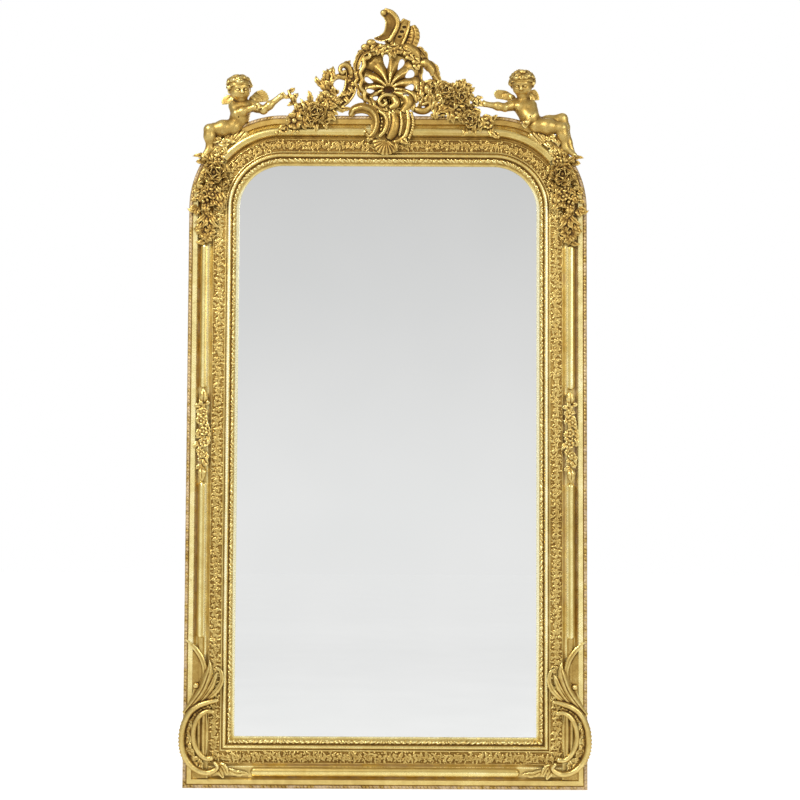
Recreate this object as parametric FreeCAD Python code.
"""Gilded wall mirror with an arched top, a pierced shell crest and two seated putti, in millimetres.

X runs to the right as seen from the front, Y runs back towards the wall and Z runs up. The origin is
the middle of the bottom face of the bottom rail. Across the frame, u counts inwards from the outer
edge and v counts forwards from the back plane.
"""

import FreeCAD
import Part

import math
import os

from FreeCAD import Vector

# Overall sizes of the frame
FRAME_WIDTH = 1000.0
FRAME_HEIGHT = 1680.0
CORNER_RADIUS = 235.0

# Bands across the face, from the outer edge inwards
OUTER_STRIP_WIDTH = 9.0
FILLET_WIDTH = 13.0
OUTER_COVE_WIDTH = 8.0
REED_WIDTH = 22.0
INNER_COVE_WIDTH = 9.0
FRIEZE_WIDTH = 31.0
BEAD_WIDTH = 11.0
ROPE_WIDTH = 12.0
SIGHT_SLOPE_WIDTH = 10.0

# Heights of the carcass above its back plane
FILLET_HEIGHT = 48.0
STRIP_SEAT_HEIGHT = 40.0
CHANNEL_HEIGHT = 38.0
FRIEZE_LAND_HEIGHT = 42.0
INNER_LAND_HEIGHT = 36.0
OUTER_COVE_SAG = 2.0
INNER_COVE_SAG = 0.9

# Applied mouldings, as rises above what they lie on
STRIP_OUTER_RISE = 3.0
STRIP_INNER_RISE = 6.0
STRIP_CROWN_RISE = 7.2
REED_BASE = 3.0
FRIEZE_EDGE = 3.0
FRIEZE_CROWN = 2.0
BEAD_OUTER_RISE = 8.0
BEAD_CROWN_RISE = 12.0
ROPE_OUTER_RISE = 4.0
ROPE_CROWN_RISE = 6.0
ROPE_INNER_RISE = 2.0
SIGHT_EDGE = 4.0
SIGHT_LIP = 18.0

# Glass, its blocks and the backboard in the rebate
GLASS_THICKNESS = 5.0
GLASS_FRONT_HEIGHT = 24.0
GLASS_EDGE_GAP = 2.0
BOARD_THICKNESS = 8.0
BOARD_FRONT_HEIGHT = 12.0
BOARD_EDGE_GAP = 1.5
BOARD_COUNT = 5
BOARD_LAP = 12.0
BOARD_GAP = 0.6
BLOCK_LENGTH = 50.0
BLOCK_WIDTH = 14.0
SIDE_BLOCK_COUNT = 4
END_BLOCK_COUNT = 3

# Fasteners and joint dowels
DOWEL_RADIUS = 6.0
DOWEL_LENGTH = 64.0
DOWEL_HEIGHT = 17.0
NAIL_RADIUS = 1.0
NAIL_LENGTH = 24.0
NAIL_BITE = 12.0
SIDE_NAIL_COUNT = 5
END_NAIL_COUNT = 3
SCREW_RADIUS = 2.0
SCREW_HEAD_RADIUS = 4.0
SCREW_HEAD_DEPTH = 2.2
SCREW_LENGTH = 20.0

# Brace behind the crest, let into the back of the top rail
BRACE_WIDTH = 40.0
BRACE_THICKNESS = 14.0
BRACE_RISE = 78.0
BRACE_TENON = 96.0

# Hangers on the backs of the stiles
HANGER_HEIGHT = 1300.0
HANGER_INSET = 52.0
STRAP_WIDTH = 20.0
STRAP_THICKNESS = 2.0
STRAP_LENGTH = 62.0
EYE_LENGTH = 9.0
EYE_BORE_RADIUS = 3.6
EYE_WALL = 1.8
RING_RADIUS = 16.0
RING_WIRE_RADIUS = 2.5

# Ornament sizes: each sets the scale of its own shares
CREST_HEIGHT = 267.5
CREST_BACK_HEIGHT = 14.0
CREST_DEPTH = 44.0
DROP_LENGTH = 232.0
DROP_DEPTH = 26.0
CLASP_LENGTH = 228.0
CLASP_WIDTH = 33.0
CLASP_DEPTH = 17.0
CLASP_MIDDLE = 873.0
CLASP_BED_HEIGHT = 42.6
CORNER_ORNAMENT_HEIGHT = 330.0
CORNER_ORNAMENT_DEPTH = 18.0
PUTTO_SIZE = 210.0
PUTTO_DEPTH = 30.0
PUTTO_BACK_HEIGHT = 19.0
PUTTO_SEAT_ANGLE = 27.5

# One overrun serves every cut, and one clearance every reed end
OVERRUN = 20.0
REED_END_GAP = 2.0

# Lines across the face
U_FILLET = OUTER_STRIP_WIDTH
U_COVE = U_FILLET + FILLET_WIDTH
U_REED = U_COVE + OUTER_COVE_WIDTH
U_REED_END = U_REED + REED_WIDTH
U_FRIEZE = U_REED_END + INNER_COVE_WIDTH
U_BEAD = U_FRIEZE + FRIEZE_WIDTH
U_ROPE = U_BEAD + BEAD_WIDTH
U_SLOPE = U_ROPE + ROPE_WIDTH
FACE_WIDTH = U_SLOPE + SIGHT_SLOPE_WIDTH
U_WALL = FACE_WIDTH - SIGHT_LIP

# Places in the frame
HALF_WIDTH = FRAME_WIDTH / 2
BACK_Y = STRIP_SEAT_HEIGHT / 2
CORNER_X = HALF_WIDTH - CORNER_RADIUS
CORNER_Z = FRAME_HEIGHT - CORNER_RADIUS
REED_MIDDLE = (U_REED + U_REED_END) / 2
SIDES = {"left": -1, "right": 1}


def at(x, v, z):
    """Point at height v above the back plane."""
    return Vector(x, BACK_Y - v, z)


def middle(a, b, share=0.5):
    return a + (b - a) * share


# Profiles across the frame: a start point, then steps of one point for a line or two for an arc


def carcass_profile():
    return [
        (0, 0),
        [(U_WALL, 0)],
        [(U_WALL, INNER_LAND_HEIGHT)],
        [(U_BEAD, INNER_LAND_HEIGHT)],
        [(U_BEAD, FRIEZE_LAND_HEIGHT)],
        [(U_FRIEZE, FRIEZE_LAND_HEIGHT)],
        [
            (middle(U_REED_END, U_FRIEZE), middle(CHANNEL_HEIGHT, FRIEZE_LAND_HEIGHT) - INNER_COVE_SAG),
            (U_REED_END, CHANNEL_HEIGHT),
        ],
        [(U_REED, CHANNEL_HEIGHT)],
        [
            (middle(U_COVE, U_REED), middle(CHANNEL_HEIGHT, FILLET_HEIGHT) - OUTER_COVE_SAG),
            (U_COVE, FILLET_HEIGHT),
        ],
        [(U_FILLET, FILLET_HEIGHT)],
        [(U_FILLET, STRIP_SEAT_HEIGHT)],
        [(0, STRIP_SEAT_HEIGHT)],
    ]


def outer_strip_profile():
    return [
        (0, STRIP_SEAT_HEIGHT),
        [(U_FILLET, STRIP_SEAT_HEIGHT)],
        [(U_FILLET, STRIP_SEAT_HEIGHT + STRIP_INNER_RISE)],
        [
            (U_FILLET / 2, STRIP_SEAT_HEIGHT + STRIP_CROWN_RISE),
            (0, STRIP_SEAT_HEIGHT + STRIP_OUTER_RISE),
        ],
    ]


def reed_profile():
    base = CHANNEL_HEIGHT + REED_BASE
    return [
        (U_REED, CHANNEL_HEIGHT),
        [(U_REED_END, CHANNEL_HEIGHT)],
        [(U_REED_END, base)],
        [(REED_MIDDLE, base + REED_WIDTH / 2), (U_REED, base)],
    ]


def half_reed_profile():
    """Half of the reed's section, which turns about the reed's middle into its rounded end."""
    base = CHANNEL_HEIGHT + REED_BASE
    radius = REED_WIDTH / 2
    knee = radius * math.sqrt(0.5)
    return [
        (REED_MIDDLE, CHANNEL_HEIGHT),
        [(U_REED_END, CHANNEL_HEIGHT)],
        [(U_REED_END, base)],
        [(REED_MIDDLE + knee, base + knee), (REED_MIDDLE, base + radius)],
    ]


def frieze_profile():
    edge = FRIEZE_LAND_HEIGHT + FRIEZE_EDGE
    return [
        (U_FRIEZE, FRIEZE_LAND_HEIGHT),
        [(U_BEAD, FRIEZE_LAND_HEIGHT)],
        [(U_BEAD, edge)],
        [(middle(U_FRIEZE, U_BEAD), edge + FRIEZE_CROWN), (U_FRIEZE, edge)],
    ]


def sight_profile():
    land = INNER_LAND_HEIGHT
    return [
        (U_BEAD, land),
        [(U_WALL, land)],
        [(U_WALL, GLASS_FRONT_HEIGHT)],
        [(FACE_WIDTH, GLASS_FRONT_HEIGHT)],
        [(FACE_WIDTH, GLASS_FRONT_HEIGHT + SIGHT_EDGE)],
        [(U_SLOPE, land + ROPE_INNER_RISE)],
        [(middle(U_ROPE, U_SLOPE), land + ROPE_CROWN_RISE), (U_ROPE, land + ROPE_OUTER_RISE)],
        [(middle(U_BEAD, U_ROPE), land + BEAD_CROWN_RISE), (U_BEAD, land + BEAD_OUTER_RISE)],
    ]


def profile_face(profile, place):
    """Face of a profile whose points place puts in the frame."""
    start = here = place(*profile[0])
    edges = []
    for step in profile[1:]:
        points = [place(*p) for p in step]
        if len(points) == 1:
            edges.append(Part.LineSegment(here, points[0]).toShape())
        else:
            edges.append(Part.Arc(here, points[0], points[1]).toShape())
        here = points[-1]
    edges.append(Part.LineSegment(here, start).toShape())
    return Part.Face(Part.Wire(edges))


# Lengths of moulding


def side_run(profile, sign, low, high):
    face = profile_face(profile, lambda u, v: at(sign * (HALF_WIDTH - u), v, low))
    return face.extrude(Vector(0, 0, high - low))


def bottom_run(profile, left, right):
    face = profile_face(profile, lambda u, v: at(left, v, u))
    return face.extrude(Vector(right - left, 0, 0))


def top_run(profile, left, right):
    face = profile_face(profile, lambda u, v: at(left, v, FRAME_HEIGHT - u))
    return face.extrude(Vector(right - left, 0, 0))


def corner_run(profile, sign, angle=90.0):
    """Arched corner, turned from the end of the top rail down towards the stile."""
    face = profile_face(profile, lambda u, v: at(sign * CORNER_X, v, FRAME_HEIGHT - u))
    return face.revolve(at(sign * CORNER_X, 0, CORNER_Z), Vector(0, 1, 0), sign * angle)


def prism_xz(points, v_low, v_high):
    """Prism on an outline given as x and z, from one height to another."""
    corners = [at(x, v_low, z) for x, z in points]
    return Part.Face(Part.makePolygon(corners + corners[:1])).extrude(Vector(0, v_low - v_high, 0))


def mitre(sign, keep_stile):
    """Wedge to cut away beside a bottom corner's mitre."""
    reach = FACE_WIDTH + OVERRUN
    edge = sign * HALF_WIDTH
    inner = sign * (HALF_WIDTH - reach)
    out = sign * (HALF_WIDTH + OVERRUN)
    if keep_stile:
        outline = [(out, -OVERRUN), (inner, reach), (inner, -OVERRUN)]
    else:
        outline = [(edge, 0), (inner, reach), (out, reach), (out, -OVERRUN)]
    return prism_xz(outline, -OVERRUN, FILLET_HEIGHT + OVERRUN)


def side_piece(profile, sign):
    return side_run(profile, sign, 0, CORNER_Z).cut(mitre(sign, True))


def bottom_piece(profile):
    run = bottom_run(profile, -HALF_WIDTH, HALF_WIDTH)
    return run.cut(mitre(-1, False)).cut(mitre(1, False))


def arch_piece(profile):
    """Both arched corners and the straight top in one length."""
    top = top_run(profile, -CORNER_X, CORNER_X)
    return top.multiFuse([corner_run(profile, -1), corner_run(profile, 1)]).removeSplitter()


def rounded_plate(inset, v_low, v_high):
    """Plate with the frame's arched top, inset from its outer edge."""
    x = HALF_WIDTH - inset
    top = FRAME_HEIGHT - inset
    knee = (CORNER_RADIUS - inset) * math.sqrt(0.5)
    profile = [
        (-x, inset),
        [(x, inset)],
        [(x, CORNER_Z)],
        [(CORNER_X + knee, CORNER_Z + knee), (CORNER_X, top)],
        [(-CORNER_X, top)],
        [(-CORNER_X - knee, CORNER_Z + knee), (-x, CORNER_Z)],
    ]
    return profile_face(profile, lambda x, z: at(x, v_low, z)).extrude(Vector(0, v_low - v_high, 0))


# Fasteners and dowels


def dowels():
    """Pairs of dowels across the six carcass joints."""
    found = []
    half = DOWEL_LENGTH / 2
    for u in (U_REED, U_FRIEZE + FRIEZE_WIDTH / 2):
        for sign in SIDES.values():
            stile = at(sign * (HALF_WIDTH - u), DOWEL_HEIGHT, CORNER_Z - half)
            found.append(Part.makeCylinder(DOWEL_RADIUS, DOWEL_LENGTH, stile, Vector(0, 0, 1)))
            rail = at(sign * CORNER_X - half, DOWEL_HEIGHT, FRAME_HEIGHT - u)
            found.append(Part.makeCylinder(DOWEL_RADIUS, DOWEL_LENGTH, rail, Vector(1, 0, 0)))
            across = Vector(sign, 0, 1).normalize()
            corner = at(sign * (HALF_WIDTH - u), DOWEL_HEIGHT, u)
            found.append(Part.makeCylinder(DOWEL_RADIUS, DOWEL_LENGTH, corner - across * half, across))
    return found


def spread(low, high, count):
    """Places spaced evenly between two ends, with half a space left at each end."""
    step = (high - low) / count
    return [low + step * (i + 0.5) for i in range(count)]


def board_nails():
    """Brads driven into the rebate wall behind the backboard."""
    found = []
    v = BOARD_FRONT_HEIGHT - BOARD_THICKNESS - NAIL_RADIUS
    for z in spread(U_WALL, CORNER_Z, SIDE_NAIL_COUNT):
        for sign in SIDES.values():
            start = at(sign * (HALF_WIDTH - U_WALL + NAIL_BITE), v, z)
            found.append(Part.makeCylinder(NAIL_RADIUS, NAIL_LENGTH, start, Vector(-sign, 0, 0)))
    for x in spread(-CORNER_X, CORNER_X, END_NAIL_COUNT):
        low = at(x, v, U_WALL - NAIL_BITE)
        found.append(Part.makeCylinder(NAIL_RADIUS, NAIL_LENGTH, low, Vector(0, 0, 1)))
        high = at(x, v, FRAME_HEIGHT - U_WALL + NAIL_BITE)
        found.append(Part.makeCylinder(NAIL_RADIUS, NAIL_LENGTH, high, Vector(0, 0, -1)))
    return found


def wood_screw(x, v, z):
    """Countersunk screw driven forwards, with its head flush at height v."""
    head = Part.makeCone(SCREW_HEAD_RADIUS, SCREW_RADIUS, SCREW_HEAD_DEPTH, at(x, v, z), Vector(0, -1, 0))
    shank = Part.makeCylinder(
        SCREW_RADIUS, SCREW_LENGTH - SCREW_HEAD_DEPTH, at(x, v + SCREW_HEAD_DEPTH, z), Vector(0, -1, 0)
    )
    return head.fuse(shank)


def brace_screws():
    low = FRAME_HEIGHT - BRACE_TENON
    return [wood_screw(x, 0, z) for x in spread(-BRACE_WIDTH / 2, BRACE_WIDTH / 2, 2)
            for z in spread(low, FRAME_HEIGHT, 2)]


def hanger_screws(sign):
    x = sign * (HALF_WIDTH - HANGER_INSET)
    eye = EYE_BORE_RADIUS + EYE_WALL
    places = spread(HANGER_HEIGHT + eye, HANGER_HEIGHT + STRAP_LENGTH, 2)
    return [wood_screw(x, -STRAP_THICKNESS, z) for z in places]


# Hangers


def hanger_strap(sign):
    """Steel strap whose lower end is rolled into an eye for the ring."""
    x = sign * (HALF_WIDTH - HANGER_INSET)
    eye_radius = EYE_BORE_RADIUS + EYE_WALL
    plate = Part.makeBox(
        STRAP_WIDTH, STRAP_THICKNESS, STRAP_LENGTH, at(x - STRAP_WIDTH / 2, 0, HANGER_HEIGHT)
    )
    eye = Part.makeCylinder(
        eye_radius, EYE_LENGTH, at(x - EYE_LENGTH / 2, -eye_radius, HANGER_HEIGHT), Vector(1, 0, 0)
    )
    bore = Part.makeCylinder(
        EYE_BORE_RADIUS, STRAP_WIDTH, at(x - STRAP_WIDTH / 2, -eye_radius, HANGER_HEIGHT), Vector(1, 0, 0)
    )
    notch_width = (STRAP_WIDTH - EYE_LENGTH) / 2
    strap = plate.fuse(eye).cut(bore)
    for side in SIDES.values():
        left = x + side * (EYE_LENGTH + notch_width) / 2 - notch_width / 2
        notch = Part.makeBox(
            notch_width, STRAP_THICKNESS, eye_radius, at(left, 0, HANGER_HEIGHT)
        )
        strap = strap.cut(notch)
    return strap.cut(Part.makeCompound(hanger_screws(sign)))


def hanging_ring(sign):
    """Iron ring that hangs from the strap's eye."""
    x = sign * (HALF_WIDTH - HANGER_INSET)
    eye_radius = EYE_BORE_RADIUS + EYE_WALL
    return Part.makeTorus(
        RING_RADIUS, RING_WIRE_RADIUS, at(x, -eye_radius, HANGER_HEIGHT - RING_RADIUS), Vector(0, 1, 0)
    )


# Backboard and glazing blocks


def backboards():
    """Half-lapped boards that fill the rebate behind the glass."""
    inset = U_WALL + BOARD_EDGE_GAP
    back = BOARD_FRONT_HEIGHT - BOARD_THICKNESS
    plate = rounded_plate(inset, back, BOARD_FRONT_HEIGHT)
    half = middle(back, BOARD_FRONT_HEIGHT)
    height = (FRAME_HEIGHT - inset * 2) / BOARD_COUNT
    x = HALF_WIDTH
    found = []
    for i in range(BOARD_COUNT):
        low = inset + height * i
        high = low + height
        low_edge = low - OVERRUN if i == 0 else low
        high_edge = high + OVERRUN if i == BOARD_COUNT - 1 else high - BOARD_GAP
        front = prism_xz([(-x, low_edge), (x, low_edge), (x, high_edge), (-x, high_edge)], half, FILLET_HEIGHT)
        rear_low = low_edge if i == 0 else low + BOARD_LAP
        rear_high = high_edge if i == BOARD_COUNT - 1 else high + BOARD_LAP - BOARD_GAP
        rear = prism_xz([(-x, rear_low), (x, rear_low), (x, rear_high), (-x, rear_high)], -OVERRUN, half)
        found.append(plate.common(front.fuse(rear)).removeSplitter())
    return found


def glazing_blocks():
    """Triangular blocks between the glass, the rebate wall and the backboard."""
    glass_back = GLASS_FRONT_HEIGHT - GLASS_THICKNESS
    section = [
        (U_WALL, BOARD_FRONT_HEIGHT),
        [(U_WALL + BLOCK_WIDTH, BOARD_FRONT_HEIGHT)],
        [(U_WALL + BLOCK_WIDTH, middle(BOARD_FRONT_HEIGHT, glass_back))],
        [(U_WALL + GLASS_EDGE_GAP * 2, glass_back)],
        [(U_WALL, glass_back)],
    ]
    found = []
    half = BLOCK_LENGTH / 2
    for z in spread(U_WALL, CORNER_Z, SIDE_BLOCK_COUNT):
        found += [side_run(section, sign, z - half, z + half) for sign in SIDES.values()]
    for x in spread(-CORNER_X, CORNER_X, END_BLOCK_COUNT):
        found.append(bottom_run(section, x - half, x + half))
        found.append(top_run(section, x - half, x + half))
    return found


# Reeds, which stop short of the ornaments


def reed_end(place, axis_point, turn):
    """Rounded end of a reed: half its section turned about the reed's middle."""
    return profile_face(half_reed_profile(), place).revolve(axis_point, Vector(0, 1, 0), turn)


def side_reed(sign, low, high):
    """Straight reed on a stile with both ends rounded."""
    run = side_run(reed_profile(), sign, low, high)
    x = sign * (HALF_WIDTH - REED_MIDDLE)
    ends = []
    for z, turn in ((low, -sign * 180.0), (high, sign * 180.0)):
        place = lambda u, v, z=z: at(sign * (HALF_WIDTH - u), v, z)
        ends.append(reed_end(place, at(x, 0, z), turn))
    return run.multiFuse(ends).removeSplitter()


def level_reed(left, right, height_of):
    """Straight level reed with both ends rounded. height_of gives z from u."""
    face = profile_face(reed_profile(), lambda u, v: at(left, v, height_of(u)))
    run = face.extrude(Vector(right - left, 0, 0))
    rising = height_of(U_REED_END) > height_of(U_REED)
    ends = []
    for x, turn in ((left, 180.0), (right, -180.0)):
        place = lambda u, v, x=x: at(x, v, height_of(u))
        ends.append(reed_end(place, at(x, 0, height_of(REED_MIDDLE)), turn if not rising else -turn))
    return run.multiFuse(ends).removeSplitter()


def top_reed(sign):
    """Reed from the crest clasp over the shoulder, down to the floral drop."""
    inner = sign * CREST_HEIGHT * CLASP_HALF_WIDTH_SHARE
    run = top_run(reed_profile(), sign * CORNER_X, inner)
    bend = corner_run(reed_profile(), sign, REED_SHOULDER_ANGLE)
    place = lambda u, v: at(inner, v, FRAME_HEIGHT - u)
    end = reed_end(place, at(inner, 0, FRAME_HEIGHT - REED_MIDDLE), sign * 180.0)
    return run.multiFuse([bend, end]).removeSplitter()


CLASP_HALF_WIDTH_SHARE = 0.24
REED_SHOULDER_ANGLE = 50.0

# Carved forms


SECTION_COUNT = 7
BULGE_SHARE = 1.05
ROUND_FLAT = 0.97


def horn(points, radii, flat=ROUND_FLAT):
    """Tapered horn through points. radii are its half widths at even steps, and flat its depth share."""
    curve = Part.BSplineCurve()
    curve.interpolate(points)
    first, last = curve.FirstParameter, curve.LastParameter
    wires = []
    for i in range(SECTION_COUNT):
        share = i / (SECTION_COUNT - 1)
        here = first + (last - first) * share
        centre, tangent = curve.value(here), Vector(*curve.tangent(here)[0])
        across = tangent.cross(Vector(0, 1, 0)).normalize()
        deep = tangent.cross(across).normalize()
        place = share * (len(radii) - 1)
        step = min(int(place), len(radii) - 2)
        radius = middle(radii[step], radii[step + 1], place - step)
        ellipse = Part.Ellipse(centre + across * radius, centre + deep * (radius * flat), centre)
        wires.append(Part.Wire(ellipse.toShape()))
    return Part.makeLoft(wires, True, False)


def ball(centre, radius):
    return Part.makeSphere(radius, centre)


def bone(a, b, radius_a, radius_b):
    """Tapered limb with its far end rounded."""
    cone = Part.makeCone(radius_a, radius_b, (b - a).Length, a, b - a)
    return [cone, ball(b, radius_b * BULGE_SHARE)]


ROSE_RING_SHARES = (1.0, 0.68, 0.38)
ROSE_RISE_SHARES = (0.34, 0.56, 0.72)
ROSE_DIP_SHARE = 0.16
ROSE_BEND_SHARE = 0.40


def rose(centre, radius):
    """Open rose facing forwards: rings of petals round a bud, turned about its middle."""
    profile = [(0, -radius * ROSE_RISE_SHARES[0])]
    profile.append([(radius * ROSE_RING_SHARES[0], -radius * ROSE_RISE_SHARES[0])])
    for ring, rise, inner in zip(ROSE_RING_SHARES, ROSE_RISE_SHARES, ROSE_RING_SHARES[1:]):
        low = radius * (rise - ROSE_DIP_SHARE)
        profile.append([(radius * ring, radius * rise)])
        profile.append([(radius * middle(ring, inner, ROSE_BEND_SHARE), low), (radius * inner, low)])
    profile.append([(radius * ROSE_RING_SHARES[-1], radius * ROSE_RISE_SHARES[-1])])
    profile.append([(0, radius * (ROSE_RISE_SHARES[-1] + ROSE_DIP_SHARE))])
    face = profile_face(profile, lambda r, h: centre + Vector(r, -h, 0))
    return face.revolve(centre, Vector(0, 1, 0), 360.0)


def carved(pieces, back_height, against=()):
    """One carving: its forms joined, cut flat at its back and cut to its neighbours."""
    solid = pieces[0].multiFuse(pieces[1:]) if len(pieces) > 1 else pieces[0]
    box = solid.BoundBox
    behind = Part.makeBox(
        box.XLength + OVERRUN * 2,
        max(box.YMax - (BACK_Y - back_height), 0) + OVERRUN,
        box.ZLength + OVERRUN * 2,
        Vector(box.XMin - OVERRUN, BACK_Y - back_height, box.ZMin - OVERRUN),
    )
    solid = solid.cut(behind)
    for other in against:
        solid = solid.cut(other)
    return max(solid.Solids, key=lambda s: s.Volume)


def mirrored(shape):
    return shape.mirror(Vector(0, 0, 0), Vector(1, 0, 0))


# Crest, in shares of the crest's height counted from the middle of the top edge


def crest_at(x_share, z_share, depth_share):
    v = CREST_BACK_HEIGHT + CREST_DEPTH * depth_share
    return at(CREST_HEIGHT * x_share, v, FRAME_HEIGHT + CREST_HEIGHT * z_share)


def crest_horn(points, radii, depth_share, flat=ROUND_FLAT):
    path = [crest_at(x, z, depth_share) for x, z in points]
    return horn(path, [CREST_HEIGHT * r for r in radii], flat)


RIM_CENTRE_SHARES = (0.014, 0.369)
RIM_RADIUS_SHARE = 0.278
RIM_TUBE_SHARE = 0.030
RIM_DEPTH_SHARE = 0.36
LOBE_SHARE = 0.046
HUB_CENTRE_SHARES = (0.014, 0.225)
HUB_RADIUS_SHARES = (0.075, 0.115)
HUB_DEPTH_SHARE = 0.72
RIB_START_SHARE = 0.022
RIB_ROOT_SHARE = 0.085
RIB_END_SHARE = 0.026
RIB_FIRST_ANGLE = -28.0
RIB_LAST_ANGLE = 208.0
RIB_COUNT = 9


def crest_shell():
    """Pierced shell: ribs fan out from a hub to a lobed rim."""
    centre = crest_at(*RIM_CENTRE_SHARES, RIM_DEPTH_SHARE)
    rim_radius = CREST_HEIGHT * RIM_RADIUS_SHARE
    pieces = [Part.makeTorus(rim_radius, CREST_HEIGHT * RIM_TUBE_SHARE, centre, Vector(0, 1, 0))]
    hub_radii = [CREST_HEIGHT * r for r in HUB_RADIUS_SHARES]
    pieces.append(Part.makeCone(
        *hub_radii, CREST_DEPTH * HUB_DEPTH_SHARE, crest_at(*HUB_CENTRE_SHARES, 0), Vector(0, -1, 0)
    ))
    hub = crest_at(*HUB_CENTRE_SHARES, RIM_DEPTH_SHARE)
    for i in range(RIB_COUNT):
        turn = math.radians(RIB_FIRST_ANGLE + (RIB_LAST_ANGLE - RIB_FIRST_ANGLE) * i / (RIB_COUNT - 1))
        end = centre + Vector(math.cos(turn), 0, math.sin(turn)) * rim_radius
        start = hub + (end - hub).normalize() * (CREST_HEIGHT * RIB_ROOT_SHARE)
        reach = end - start
        pieces.append(Part.makeCone(
            CREST_HEIGHT * RIB_START_SHARE, CREST_HEIGHT * RIB_END_SHARE, reach.Length, start, reach
        ))
        pieces.append(ball(end, CREST_HEIGHT * LOBE_SHARE))
    return carved(pieces, CREST_BACK_HEIGHT)


PLUME_SHARES = (
    (((-0.117, 0.700), (0.000, 0.790), (0.055, 0.900), (-0.040, 0.970)), (0.018, 0.060, 0.040, 0.022)),
    (((0.030, 0.640), (0.090, 0.760), (0.150, 0.885)), (0.045, 0.062, 0.026)),
    (((0.130, 0.620), (0.235, 0.690), (0.262, 0.830)), (0.050, 0.056, 0.024)),
)
PLUME_DEPTH_SHARE = 0.40
PLUME_FLAT = 0.62


def crest_plume(shell):
    """Plume of curling leaves on the shell's rim."""
    pieces = [crest_horn(path, radii, PLUME_DEPTH_SHARE, PLUME_FLAT) for path, radii in PLUME_SHARES]
    return carved(pieces, CREST_BACK_HEIGHT, [shell])


SCROLL_LEFT_SHARES = (
    (
        ((-0.425, 0.440), (-0.345, 0.410), (-0.315, 0.290), (-0.365, 0.160), (-0.470, 0.095), (-0.575, 0.130)),
        (0.024, 0.036, 0.044, 0.044, 0.036, 0.022),
    ),
    (((-0.460, 0.105), (-0.560, 0.185), (-0.650, 0.215)), (0.030, 0.044, 0.012)),
    (((-0.475, 0.130), (-0.545, 0.260), (-0.615, 0.330)), (0.028, 0.044, 0.012)),
    (((-0.490, 0.190), (-0.520, 0.340), (-0.565, 0.455)), (0.030, 0.046, 0.012)),
)
SCROLL_LEFT_EYE_SHARES = ((-0.435, 0.440, 0.044), (-0.585, 0.135, 0.042))
SCROLL_RIGHT_SHARES = (
    (((0.235, 0.640), (0.350, 0.540), (0.420, 0.420), (0.440, 0.290)), (0.020, 0.038, 0.040, 0.026)),
    (((0.300, 0.580), (0.370, 0.585), (0.415, 0.545)), (0.030, 0.030, 0.010)),
    (((0.405, 0.450), (0.465, 0.425), (0.495, 0.370)), (0.030, 0.030, 0.010)),
    (((0.290, 0.180), (0.350, 0.120), (0.400, 0.075)), (0.050, 0.044, 0.024)),
    (((0.300, 0.250), (0.400, 0.240), (0.470, 0.300)), (0.030, 0.030, 0.022)),
)
SCROLL_RIGHT_EYE_SHARES = ((0.405, 0.085, 0.042), (0.440, 0.295, 0.036))
SCROLL_DEPTH_SHARE = 0.38
SCROLL_FLAT = 0.80


def crest_scroll(horn_shares, eye_shares, shell):
    """Scroll with flame leaves beside the shell."""
    pieces = [crest_horn(path, radii, SCROLL_DEPTH_SHARE, SCROLL_FLAT) for path, radii in horn_shares]
    for x, z, radius in eye_shares:
        pieces.append(ball(crest_at(x, z, SCROLL_DEPTH_SHARE), CREST_HEIGHT * radius))
    return carved(pieces, CREST_BACK_HEIGHT, [shell])


CLASP_HORN_SHARES = (
    (((-0.350, 0.065), (-0.240, 0.055), (-0.130, -0.010), (-0.125, -0.120), (-0.180, -0.200)),
     (0.022, 0.040, 0.044, 0.040, 0.026)),
    (((0.310, 0.070), (0.230, 0.050), (0.190, -0.030), (0.200, -0.130), (0.165, -0.235)),
     (0.022, 0.036, 0.040, 0.036, 0.020)),
    (((0.020, 0.200), (0.030, 0.060), (0.055, -0.080), (0.040, -0.230)), (0.070, 0.100, 0.095, 0.050)),
    (((-0.060, 0.140), (-0.055, -0.020), (-0.050, -0.180)), (0.040, 0.052, 0.040)),
)
CLASP_EYE_SHARES = ((-0.340, 0.050, 0.036), (-0.180, -0.195, 0.042), (0.165, -0.230, 0.034))
CLASP_FAN_ROOT_SHARES = (0.020, -0.220)
CLASP_FAN_TIP_SHARES = ((-0.145, -0.290), (-0.120, -0.345), (-0.065, -0.375), (-0.005, -0.365), (0.050, -0.330))
CLASP_FAN_RADIUS_SHARES = (0.020, 0.034)
CLASP_DEPTH_SHARE = 0.90
CLASP_FLAT = 0.70


def crest_clasp(against):
    """Scrolled clasp over the top rail, with a small fluted shell below."""
    pieces = [crest_horn(path, radii, CLASP_DEPTH_SHARE, CLASP_FLAT) for path, radii in CLASP_HORN_SHARES]
    for x, z, radius in CLASP_EYE_SHARES:
        pieces.append(ball(crest_at(x, z, CLASP_DEPTH_SHARE), CREST_HEIGHT * radius))
    root = crest_at(*CLASP_FAN_ROOT_SHARES, CLASP_DEPTH_SHARE)
    radii = [CREST_HEIGHT * r for r in CLASP_FAN_RADIUS_SHARES]
    for x, z in CLASP_FAN_TIP_SHARES:
        pieces += bone(root, crest_at(x, z, CLASP_DEPTH_SHARE), *radii)
    return carved(pieces, FILLET_HEIGHT, against)


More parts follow.
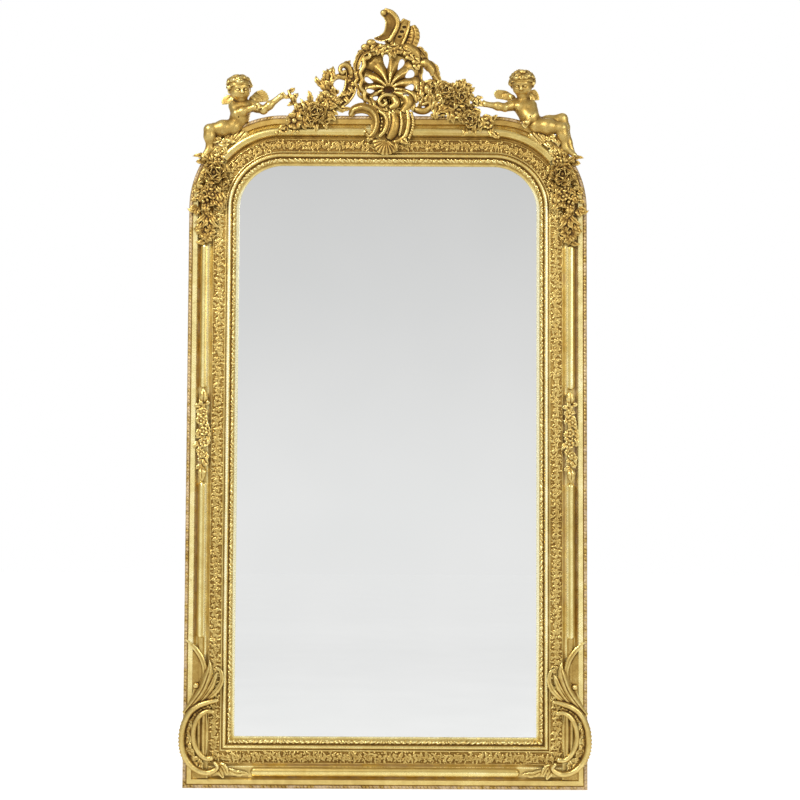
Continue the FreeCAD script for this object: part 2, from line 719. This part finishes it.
# Flower garlands: roses as place and radius, leaves as base, bend and tip, in shares of the crest
GARLAND_LEFT_ROSES_SHARES = ((-0.687, 0.010, 0.098), (-0.887, -0.066, 0.070), (-0.590, -0.060, 0.060))
GARLAND_LEFT_LEAF_SHARES = (
    ((-0.730, 0.060), (-0.765, 0.150), (-0.745, 0.225)),
    ((-0.690, -0.040), (-0.700, -0.110), (-0.660, -0.155)),
    ((-0.620, -0.020), (-0.560, -0.050), (-0.500, -0.020)),
    ((-0.880, -0.080), (-0.960, -0.130), (-1.040, -0.160)),
    ((-0.640, 0.050), (-0.580, 0.080), (-0.545, 0.060)),
)
GARLAND_LEFT_STEM_SHARES = ((-0.955, 0.205), (-0.890, 0.080), (-0.800, -0.010), (-0.687, 0.010))
GARLAND_RIGHT_ROSES_SHARES = (
    (0.545, 0.215, 0.088), (0.690, 0.160, 0.080), (0.765, -0.050, 0.085), (0.935, -0.075, 0.056),
    (0.640, 0.020, 0.062), (0.790, 0.105, 0.048),
)
GARLAND_RIGHT_LEAF_SHARES = (
    ((0.640, 0.200), (0.690, 0.280), (0.710, 0.330)),
    ((0.600, 0.120), (0.540, 0.060), (0.475, 0.030)),
    ((0.800, 0.130), (0.860, 0.160), (0.890, 0.150)),
    ((0.930, -0.100), (0.990, -0.160), (1.040, -0.205)),
    ((0.740, -0.080), (0.720, -0.150), (0.690, -0.190)),
)
GARLAND_RIGHT_STEM_SHARES = ((0.545, 0.215), (0.690, 0.140), (0.780, 0.030), (0.935, -0.075))
GARLAND_STEM_RADIUS_SHARES = (0.022, 0.036, 0.036, 0.026)
GARLAND_LEAF_RADIUS_SHARES = (0.018, 0.042, 0.010)
GARLAND_DEPTH_SHARE = 0.92
GARLAND_LEAF_FLAT = 0.45


def garland(roses, leaves, stem, against):
    """Roses and leaves on a bent stem, held up by a putto."""
    pieces = [crest_horn(stem, GARLAND_STEM_RADIUS_SHARES, GARLAND_DEPTH_SHARE)]
    for x, z, radius in roses:
        pieces.append(rose(crest_at(x, z, GARLAND_DEPTH_SHARE), CREST_HEIGHT * radius))
    for path in leaves:
        pieces.append(crest_horn(path, GARLAND_LEAF_RADIUS_SHARES, GARLAND_DEPTH_SHARE, GARLAND_LEAF_FLAT))
    return carved(pieces, FILLET_HEIGHT, against)


# Floral drop on a shoulder, in shares of its length from the top of the stile's outer edge
DROP_ROSES_SHARES = (
    (0.253, 0.366, 0.108), (0.307, 0.516, 0.062), (0.150, 0.455, 0.056), (0.148, 0.156, 0.066),
    (0.215, 0.030, 0.055), (0.178, -0.090, 0.048), (0.175, 0.265, 0.050),
)
DROP_LEAF_SHARES = (
    ((0.200, 0.440), (0.110, 0.490), (0.034, 0.555)),
    ((0.200, 0.350), (0.110, 0.340), (0.016, 0.361)),
    ((0.290, 0.440), (0.350, 0.520), (0.404, 0.576)),
    ((0.290, 0.330), (0.370, 0.280), (0.420, 0.215)),
    ((0.160, 0.180), (0.100, 0.120), (0.059, 0.040)),
    ((0.200, 0.000), (0.250, -0.090), (0.280, -0.190)),
    ((0.185, -0.080), (0.205, -0.220), (0.190, -0.383)),
)
DROP_STEM_SHARES = ((0.253, 0.366), (0.170, 0.160), (0.195, -0.100))
DROP_STEM_RADIUS_SHARES = (0.045, 0.050, 0.035)
DROP_LEAF_RADIUS_SHARES = (0.022, 0.044, 0.010)
DROP_LEAF_FLAT = 0.50
DROP_HEIGHT_SHARE = 0.12
DROP_TAIL_SHARE = -0.383


def drop(against):
    """Left floral drop on the shoulder."""
    v = FILLET_HEIGHT + DROP_DEPTH * DROP_HEIGHT_SHARE

    def place(x, z):
        return at(-HALF_WIDTH + DROP_LENGTH * x, v, CORNER_Z + DROP_LENGTH * z)

    stem = [place(*p) for p in DROP_STEM_SHARES]
    pieces = [horn(stem, [DROP_LENGTH * r for r in DROP_STEM_RADIUS_SHARES])]
    for x, z, radius in DROP_ROSES_SHARES:
        pieces.append(rose(place(x, z), DROP_LENGTH * radius))
    radii = [DROP_LENGTH * r for r in DROP_LEAF_RADIUS_SHARES]
    for path in DROP_LEAF_SHARES:
        pieces.append(horn([place(*p) for p in path], radii, DROP_LEAF_FLAT))
    return carved(pieces, FILLET_HEIGHT, against)


# Clasp on a stile: leaves run up and down from a knot of flowers
CLASP_LEAF_SHARES = (((0.0, 0.10), (0.08, 0.30), (0.0, 0.50)), ((0.0, -0.10), (-0.08, -0.30), (0.0, -0.50)))
CLASP_LEAF_RADIUS_SHARES = (0.30, 0.42, 0.08)
CLASP_ROSES_SHARES = ((0.0, 0.0, 0.46), (0.10, 0.115, 0.36), (-0.10, -0.115, 0.36))
CLASP_LEAF_FLAT = 0.60
CLASP_RISE_SHARE = 0.06
CLASP_TONGUE_SHARES = (0.60, 0.56, 0.36)


def side_clasp():
    """Clasp that parts the two reeds of the left stile, with a tongue down into the channel."""
    v = CLASP_BED_HEIGHT + CLASP_DEPTH * CLASP_RISE_SHARE

    def place(x, z):
        return at(-HALF_WIDTH + REED_MIDDLE + CLASP_WIDTH * x, v, CLASP_MIDDLE + CLASP_LENGTH * z)

    radii = [CLASP_WIDTH * r for r in CLASP_LEAF_RADIUS_SHARES]
    pieces = [horn([place(*p) for p in path], radii, CLASP_LEAF_FLAT) for path in CLASP_LEAF_SHARES]
    for x, z, radius in CLASP_ROSES_SHARES:
        pieces.append(rose(place(x, z), CLASP_WIDTH * radius))
    wide, tall, deep = (size * share for size, share in zip(
        (CLASP_WIDTH, CLASP_LENGTH, CLASP_DEPTH), CLASP_TONGUE_SHARES))
    corner = at(-HALF_WIDTH + REED_MIDDLE - wide / 2, CHANNEL_HEIGHT + deep, CLASP_MIDDLE - tall / 2)
    return carved(pieces, CLASP_BED_HEIGHT).fuse(Part.makeBox(wide, deep, tall, corner))


# Bottom corner ornament, in shares of its height from the frame's corner
CORNER_HORN_SHARES = (
    (((0.265, 0.150), (0.165, 0.132), (0.055, 0.205), (0.006, 0.356), (0.035, 0.510), (0.136, 0.610),
      (0.235, 0.640)), (0.020, 0.034, 0.042, 0.042, 0.042, 0.034, 0.020)),
    (((0.205, 0.220), (0.121, 0.280), (0.088, 0.402), (0.129, 0.515), (0.205, 0.555)),
     (0.018, 0.030, 0.034, 0.030, 0.018)),
    (((0.050, 0.540), (0.160, 0.735), (0.150, 0.940), (0.030, 1.095)), (0.034, 0.058, 0.048, 0.012)),
    (((0.090, 0.600), (0.200, 0.715), (0.275, 0.845)), (0.030, 0.046, 0.012)),
    (((0.265, 0.130), (0.380, 0.135), (0.490, 0.116)), (0.034, 0.034, 0.010)),
)
CORNER_EYE_SHARES = ((0.262, 0.150, 0.040), (0.228, 0.632, 0.034), (0.203, 0.228, 0.026), (0.203, 0.548, 0.026))
CORNER_BRIDGE_SHARES = (((0.010, 0.360), (0.088, 0.402)), ((0.050, 0.540), (0.129, 0.515)))
CORNER_BRIDGE_RADIUS_SHARE = 0.024
CORNER_ORNAMENT_TOP_SHARE = 1.107
CORNER_ORNAMENT_END_SHARE = 0.500
CORNER_BED_SHARE = 0.18
CORNER_FLAT = 0.70


def corner_ornament(sign):
    """Bottom corner ornament: two C scrolls under a pair of leaves."""
    v = FILLET_HEIGHT + CORNER_ORNAMENT_DEPTH * CORNER_BED_SHARE
    size = CORNER_ORNAMENT_HEIGHT

    def place(x, z):
        return at(sign * (HALF_WIDTH - size * x), v, size * z)

    pieces = []
    for path, radii in CORNER_HORN_SHARES:
        pieces.append(horn([place(*p) for p in path], [size * r for r in radii], CORNER_FLAT))
    for x, z, radius in CORNER_EYE_SHARES:
        pieces.append(ball(place(x, z), size * radius))
    bridge = size * CORNER_BRIDGE_RADIUS_SHARE
    for a, b in CORNER_BRIDGE_SHARES:
        reach = place(*b) - place(*a)
        pieces.append(Part.makeCylinder(bridge, reach.Length, place(*a), reach))
    return carved(pieces, FILLET_HEIGHT)


# Putti, in shares of their size from the seat: towards the middle, up and forwards
PUTTO_LEFT_SHARES = {
    "hips": (0.000, 0.070, 0.00),
    "belly": (0.005, 0.145, 0.03),
    "chest": (0.045, 0.240, 0.02),
    "head": (0.015, 0.480, 0.06),
    "crown": (0.015, 0.510, 0.03),
    "inner_shoulder": (0.155, 0.285, 0.00),
    "inner_elbow": (0.305, 0.220, 0.05),
    "inner_hand": (0.500, 0.385, 0.07),
    "outer_shoulder": (-0.060, 0.270, 0.02),
    "outer_elbow": (-0.010, 0.165, 0.12),
    "outer_hand": (0.200, 0.250, 0.14),
    "near_hip": (-0.040, 0.045, 0.05),
    "near_knee": (-0.350, -0.020, 0.10),
    "near_ankle": (-0.352, -0.265, 0.06),
    "near_toe": (-0.425, -0.345, 0.09),
    "far_hip": (-0.040, 0.045, -0.02),
    "far_knee": (-0.300, 0.010, -0.02),
    "far_ankle": (-0.300, -0.215, -0.02),
    "far_toe": (-0.360, -0.290, -0.01),
    "inner_root": (0.100, 0.270, -0.06),
    "outer_root": (-0.012, 0.272, -0.06),
}
PUTTO_RIGHT_SHARES = {
    "hips": (0.026, 0.070, 0.00),
    "belly": (0.080, 0.150, 0.03),
    "chest": (0.165, 0.250, 0.02),
    "head": (0.170, 0.520, 0.06),
    "crown": (0.165, 0.550, 0.03),
    "inner_shoulder": (0.268, 0.312, 0.02),
    "inner_elbow": (0.385, 0.260, 0.08),
    "inner_hand": (0.640, 0.305, 0.10),
    "outer_shoulder": (0.060, 0.295, 0.02),
    "outer_elbow": (0.040, 0.165, 0.10),
    "outer_hand": (0.130, 0.060, 0.14),
    "near_hip": (-0.010, 0.045, 0.05),
    "near_knee": (-0.300, 0.000, 0.10),
    "near_ankle": (-0.345, -0.230, 0.06),
    "near_toe": (-0.465, -0.325, 0.09),
    "far_hip": (-0.010, 0.060, -0.02),
    "far_knee": (-0.320, 0.110, -0.015),
    "far_ankle": (-0.400, -0.140, -0.02),
    "far_toe": (-0.440, -0.300, -0.01),
    "inner_root": (0.215, 0.300, -0.06),
    "outer_root": (0.112, 0.295, -0.06),
}
PUTTO_BONE_SHARES = (
    ("hips", "belly", 0.098, 0.100),
    ("belly", "chest", 0.098, 0.106),
    ("chest", "head", 0.062, 0.070),
    ("inner_shoulder", "inner_elbow", 0.052, 0.044),
    ("inner_elbow", "inner_hand", 0.042, 0.032),
    ("outer_shoulder", "outer_elbow", 0.052, 0.044),
    ("outer_elbow", "outer_hand", 0.042, 0.032),
    ("near_hip", "near_knee", 0.090, 0.068),
    ("near_knee", "near_ankle", 0.064, 0.042),
    ("near_ankle", "near_toe", 0.043, 0.034),
    ("far_hip", "far_knee", 0.086, 0.066),
    ("far_knee", "far_ankle", 0.062, 0.042),
    ("far_ankle", "far_toe", 0.043, 0.034),
)
PUTTO_ROOT_SHARES = (
    ("hips", 0.103), ("inner_shoulder", 0.055), ("outer_shoulder", 0.055), ("near_hip", 0.095), ("far_hip", 0.091),
)
PUTTO_HEAD_SHARE = 0.128
PUTTO_HAIR_SHARE = 0.134
PUTTO_SEAT_SHARES = ((0.160, -0.005), (-0.060, -0.035), (-0.220, -0.110), (-0.330, -0.240))
PUTTO_SEAT_RADIUS_SHARES = (0.040, 0.085, 0.080, 0.040)
WING_LEFT_TIP_SHARES = {
    "inner_root": ((0.300, 0.405), (0.355, 0.365), (0.330, 0.310)),
    "outer_root": ((-0.205, 0.375), (-0.255, 0.335), (-0.225, 0.285)),
}
WING_RIGHT_TIP_SHARES = {
    "inner_root": ((0.440, 0.450), (0.500, 0.420), (0.470, 0.360)),
    "outer_root": ((-0.020, 0.435), (-0.075, 0.405), (-0.050, 0.345)),
}
WING_RADIUS_SHARES = (0.040, 0.046, 0.018)
WING_BEND_SHARE = 0.045
WING_DEPTH_SHARE = -0.06
WING_FLAT = 0.40


def putto_place(sign):
    """Function that puts a putto's shares into the frame, from its seat on the arched corner."""
    turn = math.radians(PUTTO_SEAT_ANGLE)
    seat_x = sign * (CORNER_X + CORNER_RADIUS * math.sin(turn))
    seat_z = CORNER_Z + CORNER_RADIUS * math.cos(turn)

    def place(x, z, depth=0.0):
        return at(seat_x - sign * PUTTO_SIZE * x, PUTTO_DEPTH + PUTTO_SIZE * depth, seat_z + PUTTO_SIZE * z)

    return place


def corner_cylinder(sign):
    base = at(sign * CORNER_X, -OVERRUN, CORNER_Z)
    return Part.makeCylinder(CORNER_RADIUS, FILLET_HEIGHT + OVERRUN * 3, base, Vector(0, -1, 0))


def putto(sign, pose):
    """Seated putto on an arched corner, with a cushion of drapery under the legs."""
    place = putto_place(sign)
    pieces = []
    for a, b, radius_a, radius_b in PUTTO_BONE_SHARES:
        pieces += bone(place(*pose[a]), place(*pose[b]), PUTTO_SIZE * radius_a, PUTTO_SIZE * radius_b)
    for name, radius in PUTTO_ROOT_SHARES:
        pieces.append(ball(place(*pose[name]), PUTTO_SIZE * radius))
    pieces.append(ball(place(*pose["head"]), PUTTO_SIZE * PUTTO_HEAD_SHARE))
    pieces.append(ball(place(*pose["crown"]), PUTTO_SIZE * PUTTO_HAIR_SHARE))
    seat = [place(*p) for p in PUTTO_SEAT_SHARES]
    pieces.append(horn(seat, [PUTTO_SIZE * r for r in PUTTO_SEAT_RADIUS_SHARES]))
    return carved(pieces, PUTTO_BACK_HEIGHT, [corner_cylinder(sign)])


def wings(sign, pose, tips):
    """Pair of small wings whose fronts lie against the putto's flat back."""
    place = putto_place(sign)
    radii = [PUTTO_SIZE * r for r in WING_RADIUS_SHARES]
    found = []
    for root, feathers in tips.items():
        start = place(*pose[root])
        pieces = []
        for x, z in feathers:
            tip = place(x, z, WING_DEPTH_SHARE)
            bend = middle(start, tip) + Vector(0, 0, PUTTO_SIZE * WING_BEND_SHARE)
            pieces.append(horn([start, bend, tip], radii, WING_FLAT))
        wing = carved(pieces, 0)
        box = wing.BoundBox
        ahead = Part.makeBox(
            box.XLength + OVERRUN * 2, FILLET_HEIGHT, box.ZLength + OVERRUN * 2,
            Vector(box.XMin - OVERRUN, BACK_Y - PUTTO_BACK_HEIGHT - FILLET_HEIGHT, box.ZMin - OVERRUN),
        )
        found.append(wing.cut(ahead))
    return found


# Assembly


def carcass(fixings):
    """The six wooden members, bored for what is let into them."""
    profile = carcass_profile()
    members = {
        "stile_left": side_piece(profile, -1),
        "stile_right": side_piece(profile, 1),
        "bottom_rail": bottom_piece(profile),
        "top_rail": top_run(profile, -CORNER_X, CORNER_X),
        "corner_block_left": corner_run(profile, -1),
        "corner_block_right": corner_run(profile, 1),
    }
    return {name: [solid.cut(fixings)] for name, solid in members.items()}


def assembly():
    nodes = {}
    brace = Part.makeBox(
        BRACE_WIDTH, BRACE_THICKNESS, BRACE_TENON + BRACE_RISE,
        at(-BRACE_WIDTH / 2, BRACE_THICKNESS, FRAME_HEIGHT - BRACE_TENON),
    )
    pegs = dowels()
    nails = board_nails()
    crest_fixings = brace_screws()
    strap_fixings = {side: hanger_screws(sign) for side, sign in SIDES.items()}
    loose = pegs + nails + crest_fixings + strap_fixings["left"] + strap_fixings["right"]
    nodes.update(carcass(Part.makeCompound(loose + [brace])))
    nodes["joint_dowels"] = pegs
    nodes["backboard_nails"] = nails
    nodes["crest_brace"] = [brace.cut(Part.makeCompound(crest_fixings + nails))]
    nodes["brace_screws"] = crest_fixings

    for name, profile in (("outer_strip", outer_strip_profile()), ("frieze", frieze_profile()),
                          ("sight_moulding", sight_profile())):
        for side, sign in SIDES.items():
            nodes[f"{name}_{side}"] = [side_piece(profile, sign)]
        nodes[f"{name}_bottom"] = [bottom_piece(profile)]
        nodes[f"{name}_arch"] = [arch_piece(profile)]

    nodes["mirror_glass"] = [
        rounded_plate(U_WALL + GLASS_EDGE_GAP, GLASS_FRONT_HEIGHT - GLASS_THICKNESS, GLASS_FRONT_HEIGHT)
    ]
    nodes["glazing_blocks"] = glazing_blocks()
    for i, board in enumerate(backboards()):
        nodes[f"backboard_{i + 1}"] = [board]

    clear = REED_END_GAP + REED_WIDTH / 2
    low = CORNER_ORNAMENT_HEIGHT * CORNER_ORNAMENT_TOP_SHARE + clear
    high = CORNER_Z + DROP_LENGTH * DROP_TAIL_SHARE - clear
    clasp_low = CLASP_MIDDLE - CLASP_LENGTH / 2 - clear
    clasp_high = CLASP_MIDDLE + CLASP_LENGTH / 2 + clear
    for side, sign in SIDES.items():
        nodes[f"reed_{side}"] = [side_reed(sign, low, clasp_low), side_reed(sign, clasp_high, high)]
        nodes[f"reed_top_{side}"] = [top_reed(sign)]
    reach = HALF_WIDTH - CORNER_ORNAMENT_HEIGHT * CORNER_ORNAMENT_END_SHARE - clear
    nodes["reed_bottom"] = [level_reed(-reach, reach, lambda u: u)]

    shell = crest_shell()
    nodes["crest_shell"] = [shell]
    nodes["crest_plume"] = [crest_plume(shell)]
    scrolls = {
        "left": crest_scroll(SCROLL_LEFT_SHARES, SCROLL_LEFT_EYE_SHARES, shell),
        "right": crest_scroll(SCROLL_RIGHT_SHARES, SCROLL_RIGHT_EYE_SHARES, shell),
    }
    clasp = crest_clasp([shell, nodes["reed_top_left"][0], nodes["reed_top_right"][0]])
    nodes["crest_clasp"] = [clasp]

    poses = {"left": PUTTO_LEFT_SHARES, "right": PUTTO_RIGHT_SHARES}
    tips = {"left": WING_LEFT_TIP_SHARES, "right": WING_RIGHT_TIP_SHARES}
    flowers = {
        "left": (GARLAND_LEFT_ROSES_SHARES, GARLAND_LEFT_LEAF_SHARES, GARLAND_LEFT_STEM_SHARES),
        "right": (GARLAND_RIGHT_ROSES_SHARES, GARLAND_RIGHT_LEAF_SHARES, GARLAND_RIGHT_STEM_SHARES),
    }
    for side, sign in SIDES.items():
        body = putto(sign, poses[side])
        nodes[f"putto_{side}"] = [body]
        nodes[f"putto_{side}_wings"] = wings(sign, poses[side], tips[side])
        nodes[f"crest_scroll_{side}"] = [scrolls[side]]
        near = [body, scrolls[side], clasp, nodes[f"reed_top_{side}"][0]]
        nodes[f"garland_{side}"] = [garland(*flowers[side], near)]

    left_drop = drop([nodes["putto_left"][0], nodes["reed_top_left"][0]])
    nodes["drop_left"] = [left_drop]
    nodes["drop_right"] = [mirrored(left_drop).cut(nodes["putto_right"][0])]
    left_clasp = side_clasp()
    nodes["side_clasp_left"] = [left_clasp]
    nodes["side_clasp_right"] = [mirrored(left_clasp)]

    for side, sign in SIDES.items():
        nodes[f"corner_ornament_{side}"] = [corner_ornament(sign)]
        nodes[f"hanger_strap_{side}"] = [hanger_strap(sign)]
        nodes[f"hanger_screws_{side}"] = strap_fixings[side]
        nodes[f"hanging_ring_{side}"] = [hanging_ring(sign)]
    return nodes


os.makedirs("parts", exist_ok=True)
for node, solids in assembly().items():
    shape = solids[0] if len(solids) == 1 else Part.makeCompound(solids)
    shape.exportStep(f"parts/{node}.step")
